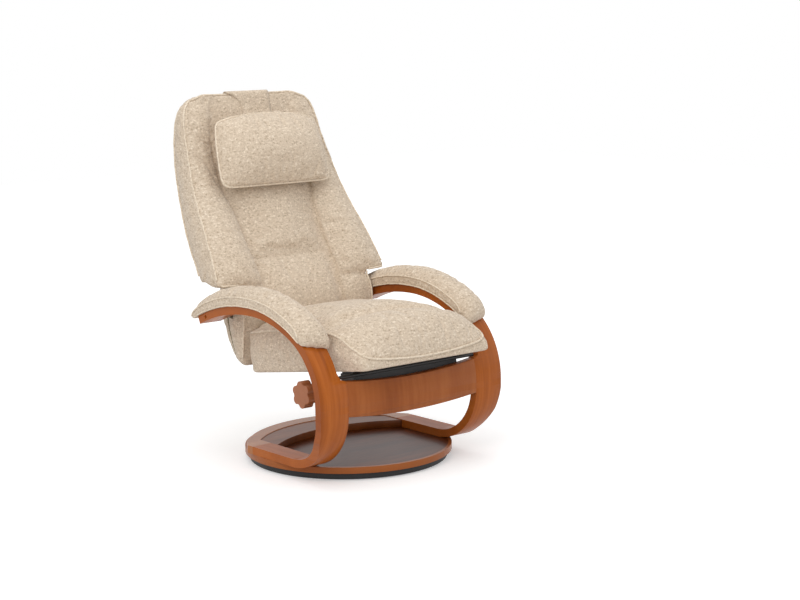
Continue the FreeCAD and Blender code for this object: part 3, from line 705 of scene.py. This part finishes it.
rooms = [((-211.6, -337.6, -12), (211.6, 149.6, 46.3))]
rooms += [((hookX - 4, 149.4, 21), (hookX + 4, 190, 43)) for hookX in (-131, 131)]
carve(seatCushion, rooms, onSeat)
seamUp(seatCushion, seat, seams)
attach(seatCushion, "seat")
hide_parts("seat_cushion")
print("seat cushion")


# Arm pads: a boxing band under a crowned top panel, piped above and below.
pad = {"voxel": 0.005, "inset": 0.001, "cap": 0.007, "reach": 0.014, "levels": 1, "soften": 2,
       "piping": 0.0022, "centre": 292, "half": 46, "height": 54}
# Centres of the bends of the arm and their outer radius, in millimetres, seen from the side.
bends = {"shin": (-79, 227, 218), "wrist": (15.9, 48.7, 420), "elbow": (15.9, -156.3, 625)}
# Bend, angle on it in degrees, share of the height, share of the width.
padRows = [
    ("elbow", 62.7, 0.22, 0.78), ("elbow", 63.2, 0.4, 0.88), ("elbow", 64.4, 0.6, 0.95), ("elbow", 67, 0.78, 1),
    ("elbow", 71, 0.9, 1), ("elbow", 76, 0.97, 1), ("elbow", 81, 1, 1), ("elbow", 86, 1, 1),
    ("wrist", 91, 1, 1), ("wrist", 96, 1, 1), ("wrist", 101, 1, 1), ("wrist", 106, 1, 1),
    ("wrist", 111, 0.99, 1), ("wrist", 116, 0.97, 1), ("shin", 121, 0.94, 1), ("shin", 126, 0.88, 1),
    ("shin", 130, 0.78, 1), ("shin", 133.5, 0.62, 0.97), ("shin", 135.8, 0.42, 0.92), ("shin", 136.8, 0.22, 0.84),
]


def onArm(bend, angle, rise, x):
    across, high, radius = bends[bend]
    skew = min(max((angle - 114) / 22, 0), 1) * 3.2  # the nose is cut back on the outer side
    turn = math.radians(angle - skew * (1 + x / pad["half"]))
    return Vector((pad["centre"] + x, across + (radius + rise) * math.cos(turn),
                   high + (radius + rise) * math.sin(turn))) / 1000


def padRing(row):
    bend, angle, tall, wide = row
    half, top = pad["half"] * wide, pad["height"] * tall
    band = top * 0.52
    outline = [(-half, 0.4), (-half * 0.4, 0.4), (half * 0.4, 0.4), (half, 0.4)]
    outline += [(half + 1, band * 0.5), (half - 1, band)]
    outline += [(half * c, band + (top - band) * (1 - abs(c) ** 2.6))
                for c in (0.86, 0.62, 0.3, 0, -0.3, -0.62, -0.86)]
    outline += [(1 - half, band), (-half - 1, band * 0.5)]
    return [onArm(bend, angle, rise, x) for x, rise in outline]


def padSeams():
    pipe, seams = pad["piping"], []
    for share, start in ((0.52, 40), (0.06, 6)):
        outer = []
        for bend, angle, tall, wide in padRows[1:-1]:
            rise = pad["height"] * tall * share
            turn = math.radians(angle)
            lift = start * 0.9
            outer.append((onArm(bend, angle, rise + lift, pad["half"] * wide + 40),
                          (-40, -lift * math.cos(turn), -lift * math.sin(turn))))
        inner = [((2 * pad["centre"] / 1000 - x, y, z), (-a, b, c)) for (x, y, z), (a, b, c) in outer]
        seams.append({"route": outer, "depth": 0.0012, "pipe": pipe})
        seams.append({"route": inner, "depth": 0.0012, "pipe": pipe})
    return seams


def padFixed(spot):
    for across, high, radius in bends.values():
        gap = math.hypot(spot.y - across / 1000, spot.z - high / 1000) - radius / 1000
        if gap < 0.003:
            return 1
    return 0


leftPad = loft("leftArmPad", [[padRing(row) for row in padRows]])
seams = padSeams()
fill(leftPad, pad, seams, padFixed)
seamUp(leftPad, pad, seams)


def twin(piece, name):
    copy = piece.copy()
    copy.data = piece.data.copy()
    copy.name = name
    bpy.context.collection.objects.link(copy)
    copy.data.transform(Matrix.Scale(-1, 4, (1, 0, 0)))
    copy.data.flip_normals()
    return copy


rightPad = twin(leftPad, "rightArmPad")
for piece, nodeName in ((leftPad, "left_arm_pad"), (rightPad, "right_arm_pad")):
    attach(piece, "frame")
    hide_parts(nodeName)
print("arm pads")


# Headrest pillow: thick and crowned, with piping all round its edge.
pillow = {"voxel": 0.005, "inset": 0.001, "cap": 0.012, "reach": 0.02, "levels": 1, "soften": 2,
          "piping": 0.0032, "tilt": math.radians(17.2), "y": 350, "z": 864.5}
# Height, half-width, rear and front depth.
pillowRows = [
    (-99, 176, 5, 5), (-97, 186, 12, 12), (-90, 193, 24, 22), (-72, 197, 38, 33), (-45, 196, 47, 41),
    (-10, 194, 51, 46), (25, 191, 50, 46), (55, 187, 41, 42), (77, 183, 28, 31), (90, 178, 16, 20),
    (95, 172, 9, 10), (97, 164, 5, 5),
]


def onPillow(x, rise, out):
    turn = pillow["tilt"]
    return (x / 1000, (pillow["y"] + rise * math.sin(turn) - out * math.cos(turn)) / 1000,
            (pillow["z"] + rise * math.cos(turn) + out * math.sin(turn)) / 1000)


def pillowRing(row):
    rise, half, rear, front = row
    spread = [1, 0.975, 0.9, 0.75, 0.5, 0.25, 0, -0.25, -0.5, -0.75, -0.9, -0.975, -1]
    full = [max(0, 1 - abs(c) ** 3.2) ** 0.62 for c in spread]
    ring = [(half * c, 2 + (front - 2) * f) for c, f in zip(spread, full)]
    ring += [(half * c, -2 - (rear - 2) * f) for c, f in zip(reversed(spread), reversed(full))]
    arch = min(max((rise - 10) / 87, 0), 1) * 20
    return [Vector(onPillow(x, rise + arch * (1 - abs(x / half) ** 2.5), out)) for x, out in ring]


def pillowWay(x, rise, out):
    turn = pillow["tilt"]
    return (x, rise * math.sin(turn) - out * math.cos(turn), rise * math.cos(turn) + out * math.sin(turn))


def pillowSeams():
    right = [(onPillow(half + 60, rise, 0), pillowWay(-1, 0, 0))
             for rise, half, _, _ in between(pillowRows[2:10], 4)]
    top = [(onPillow(x, 150, 0), pillowWay(0, -1, 0)) for x in steps(160, -160, 40)]
    low = [(onPillow(x, -150, 0), pillowWay(0, 1, 0)) for x in steps(-170, 170, 40)]
    topCorner = [(onPillow(226, 120, 0), pillowWay(-1, -0.45, 0)),
                 (onPillow(210, 140, 0), pillowWay(-1, -1, 0))]
    lowCorner = [(onPillow(-236, -125, 0), pillowWay(1, 0.5, 0)),
                 (onPillow(-226, -133, 0), pillowWay(1, 0.8, 0))]
    route = right + topCorner + top + mirrored(topCorner)[::-1] + mirrored(right)[::-1]
    route += lowCorner + low + mirrored(lowCorner)[::-1] + right[:2]
    return [{"route": route, "depth": 0.0015, "pipe": pillow["piping"]}]


headPillow = loft("headrestPillow", [[pillowRing(row) for row in pillowRows]])
seams = pillowSeams()
fill(headPillow, pillow, seams, lambda spot: 0)
seamUp(headPillow, pillow, seams)
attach(headPillow, "headrest")
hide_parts("headrest_pillow")
print("headrest pillow")


# Strap over the top of the back, and the weighted pouch at its rear end.
strap = {"half": 76, "thick": 0.0026, "line": [
    (428, 905), (444.5, 956), (455.5, 990), (460, 1010), (467, 1036), (484, 1037), (500, 1012),
    (513, 991), (527, 966), (530, 902), (520, 856)]}


# Left edge of the strap by height on the front: it curves in towards the pillow.
strapEdge = [(850, 30), (990, 30), (1003, 32), (1016, 42), (1028, 60), (1036, 74), (1060, 76)]


def strapSheet():
    line = between(strap["line"], 6)
    mesh = bmesh.new()
    rows = []
    for y, z in line:
        left = strap["half"]
        if y < 468:
            left = rowAt(strapEdge, z)[1]
        rows.append([mesh.verts.new(((-left + (strap["half"] + left) * c) / 1000, y / 1000, z / 1000))
                     for c in steps(0, 1, 13)])
    for low, high in zip(rows, rows[1:]):
        for first, second, third, fourth in zip(low, low[1:], high[1:], high):
            mesh.faces.new((first, second, third, fourth))
    data = bpy.data.meshes.new("headrestStrap")
    mesh.to_mesh(data)
    mesh.free()
    piece = bpy.data.objects.new("headrestStrap", data)
    bpy.context.collection.objects.link(piece)
    length = sum(math.dist(a, b) for a, b in zip(line, line[1:])) / 1000
    area = sum(face.area for face in data.polygons)
    settle(piece, ("SOLIDIFY", {"thickness": strap["thick"], "offset": -1}))
    piece.data.materials.append(clothPaint)
    for face in piece.data.polygons:
        face.use_smooth = True
    return piece, length, area


headStrap, strapLength, strapArea = strapSheet()
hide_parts("headrest_strap")
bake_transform(headStrap)

pouch = {"voxel": 0.004, "soften": 3, "levels": 1}
# Height, half-width, inner and outer face.
pouchRows = [
    (764, 68, 491.5, 494), (770, 72, 494, 505), (800, 73, 505, 523), (840, 73, 518, 532), (854, 71, 522, 526),
]


def pouchRing(row):
    height, half, inner, outer = row
    return [Vector((x, y, height)) / 1000 for x, y in (
        (-half, inner), (0, inner), (half, inner), (half, outer - 1), (half * 0.5, outer), (0, outer),
        (-half * 0.5, outer), (-half, outer - 1))]


strapPouch = loft("strapPouch", [[pouchRing(row) for row in between(pouchRows, 4)]])
settle(strapPouch, ("REMESH", {"mode": "VOXEL", "voxel_size": pouch["voxel"]}),
       ("SMOOTH", {"factor": 0.5, "iterations": pouch["soften"]}),
       ("SUBSURF", {"levels": pouch["levels"], "render_levels": pouch["levels"]}))
strapPouch.data.materials.append(clothPaint)
for face in strapPouch.data.polygons:
    face.use_smooth = True
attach(strapPouch, "backrest")
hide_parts("strap_weight")
print("strap and pouch")


# Pale floor and soft lights. The floor glows for the camera only, more with distance, and keeps its shadow.
def makeFloor():
    paint = Paint("paleFloor")
    paths = paint.add("ShaderNodeLightPath")
    seen = paths.out("Is Camera Ray") + paths.out("Is Glossy Ray") + paths.out("Is Transmission Ray")
    grain = paint.noise(paint.where(), 60.0)
    far = paint.add("ShaderNodeVectorMath", {"operation": "LENGTH"}, {"Vector": paint.where()}).out("Value")
    away = paint.add("ShaderNodeMapRange", {}, {
        "Value": far, "From Min": 0.4, "From Max": 2.4}).out("Result")
    tone = paint.mix(grain, (0.86, 0.86, 0.86), (0.88, 0.88, 0.88))
    paint.finish(Base_Color=tone, Roughness=0.9, Specular_IOR_Level=0.0)
    glow = paint.add("ShaderNodeEmission", {}, {
        "Color": paint.mix(away, (0.34, 0.34, 0.34), (0.6, 0.6, 0.6)), "Strength": 1.0})
    none = paint.add("ShaderNodeEmission", {}, {"Color": (0.0, 0.0, 0.0), "Strength": 0.0})
    extra = paint.add("ShaderNodeMixShader", {}, {"Fac": seen})
    paint.links.new(none.node.outputs[0], extra.node.inputs[1])
    paint.links.new(glow.node.outputs[0], extra.node.inputs[2])
    both = paint.add("ShaderNodeAddShader")
    paint.links.new(paint.shader.node.outputs[0], both.node.inputs[0])
    paint.links.new(extra.node.outputs[0], both.node.inputs[1])
    paint.links.new(both.node.outputs[0], paint.nodes["Material Output"].inputs["Surface"])
    bpy.ops.mesh.primitive_grid_add(x_subdivisions=8, y_subdivisions=8, size=16, location=(0, 0, -0.0005))
    floor = bpy.context.active_object
    bpy.ops.object.transform_apply(location=True)
    floor.name = "floor"
    floor.data.materials.append(paint.material)


def makeWorld():
    world = bpy.data.worlds.new("studio")
    bpy.context.scene.world = world
    world.use_nodes = True
    nodes, links = world.node_tree.nodes, world.node_tree.links
    nodes.clear()
    paths = nodes.new("ShaderNodeLightPath")
    most = nodes.new("ShaderNodeMath")
    most.operation = "MAXIMUM"
    links.new(paths.outputs["Is Camera Ray"], most.inputs[0])
    rest = nodes.new("ShaderNodeMath")
    rest.operation = "MAXIMUM"
    links.new(paths.outputs["Is Glossy Ray"], rest.inputs[0])
    links.new(paths.outputs["Is Transmission Ray"], rest.inputs[1])
    links.new(rest.outputs[0], most.inputs[1])
    white, dim = nodes.new("ShaderNodeBackground"), nodes.new("ShaderNodeBackground")
    white.inputs["Strength"].default_value = 1.0
    white.inputs["Color"].default_value = (1, 1, 1, 1)
    dim.inputs["Color"].default_value = (1, 1, 1, 1)
    dim.inputs["Strength"].default_value = 0.62
    mixed, end = nodes.new("ShaderNodeMixShader"), nodes.new("ShaderNodeOutputWorld")
    links.new(most.outputs[0], mixed.inputs[0])
    links.new(dim.outputs[0], mixed.inputs[1])
    links.new(white.outputs[0], mixed.inputs[2])
    links.new(mixed.outputs[0], end.inputs["Surface"])


# Place, size and power of each lamp, and what all of them face.
lamps = {
    "key": ((-2.5, -1.5, 2.3), 2.2, 40), "fill": ((2.2, -2.0, 1.6), 2.4, 9), "top": ((0, -0.1, 3.2), 2.4, 24),
}
lampAim = Vector((0, 0, 0.45))


def makeLamps():
    for name, (spot, reach, power) in lamps.items():
        lamp = bpy.data.lights.new(name, "AREA")
        lamp.energy, lamp.size = power, reach
        item = bpy.data.objects.new(name, lamp)
        bpy.context.collection.objects.link(item)
        item.matrix_world = Matrix.Translation(spot) @ (
            Vector(spot) - lampAim).to_track_quat("Z", "Y").to_matrix().to_4x4()


makeFloor()
makeWorld()
makeLamps()
bpy.context.scene.view_settings.view_transform = "Standard"
print("studio")

bpy.ops.object.select_all(action="DESELECT")
